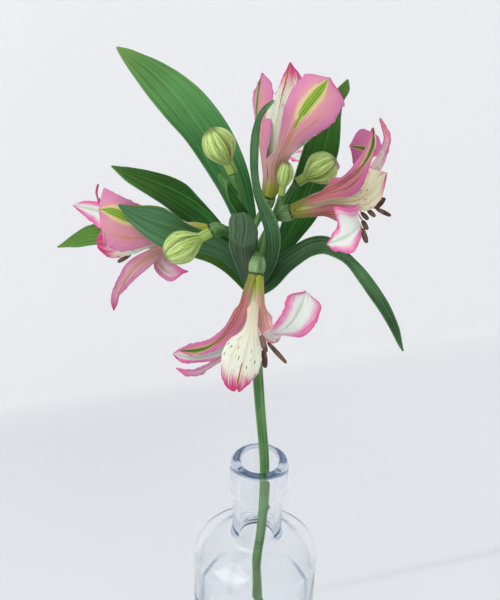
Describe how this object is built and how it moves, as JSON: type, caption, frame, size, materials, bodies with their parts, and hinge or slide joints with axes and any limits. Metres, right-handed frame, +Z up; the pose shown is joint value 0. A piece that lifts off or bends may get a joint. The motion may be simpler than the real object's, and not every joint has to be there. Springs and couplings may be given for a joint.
{
  "type": "alstroemeria stem",
  "caption": "Cut alstroemeria stem with open pink blooms, green buds and lance leaves, standing in water in a clear glass bottle vase.",
  "frame": {"origin": "centre of the vase's flat foot, on the surface that it stands on", "axes": "+Z up the vase, -Y towards the side that the front bloom faces, +X to that side's right"},
  "size_m": [0.1368, 0.1138, 0.3249],
  "materials": {
    "glass": "clear, polished",
    "water": "clear liquid",
    "stem": "matt, living green",
    "leaf": "satin, finely veined",
    "leaf_underside": "matt, grey green",
    "tepal": "matt, pink with cream and yellow green",
    "bud": "matt, yellow green",
    "stamen": "matt, brown"
  },
  "bodies": {
    "root": {"vase": "glass", "water": "water", "stem": "stem", "leaf_tall_left": "leaf", "leaf_mid_left": "leaf", "leaf_low_left": "leaf", "leaf_front_right": "leaf", "leaf_tall_right": "leaf", "leaf_drooping_right": "leaf", "leaf_bract": "leaf", "leaf_grey_left": "leaf_underside", "leaf_front_left": "leaf_underside", "bloom_front": "tepal", "stamens_front": "stamen", "bloom_right": "tepal", "stamens_right": "stamen", "bloom_top": "tepal", "stamens_top": "stamen", "bloom_left": "tepal", "stamens_left": "stamen", "bloom_back": "tepal", "stamens_back": "stamen", "bud_low_left": "bud", "bud_upper_left": "bud", "bud_right": "bud", "bud_small": "bud"}
  },
  "joints": []
}
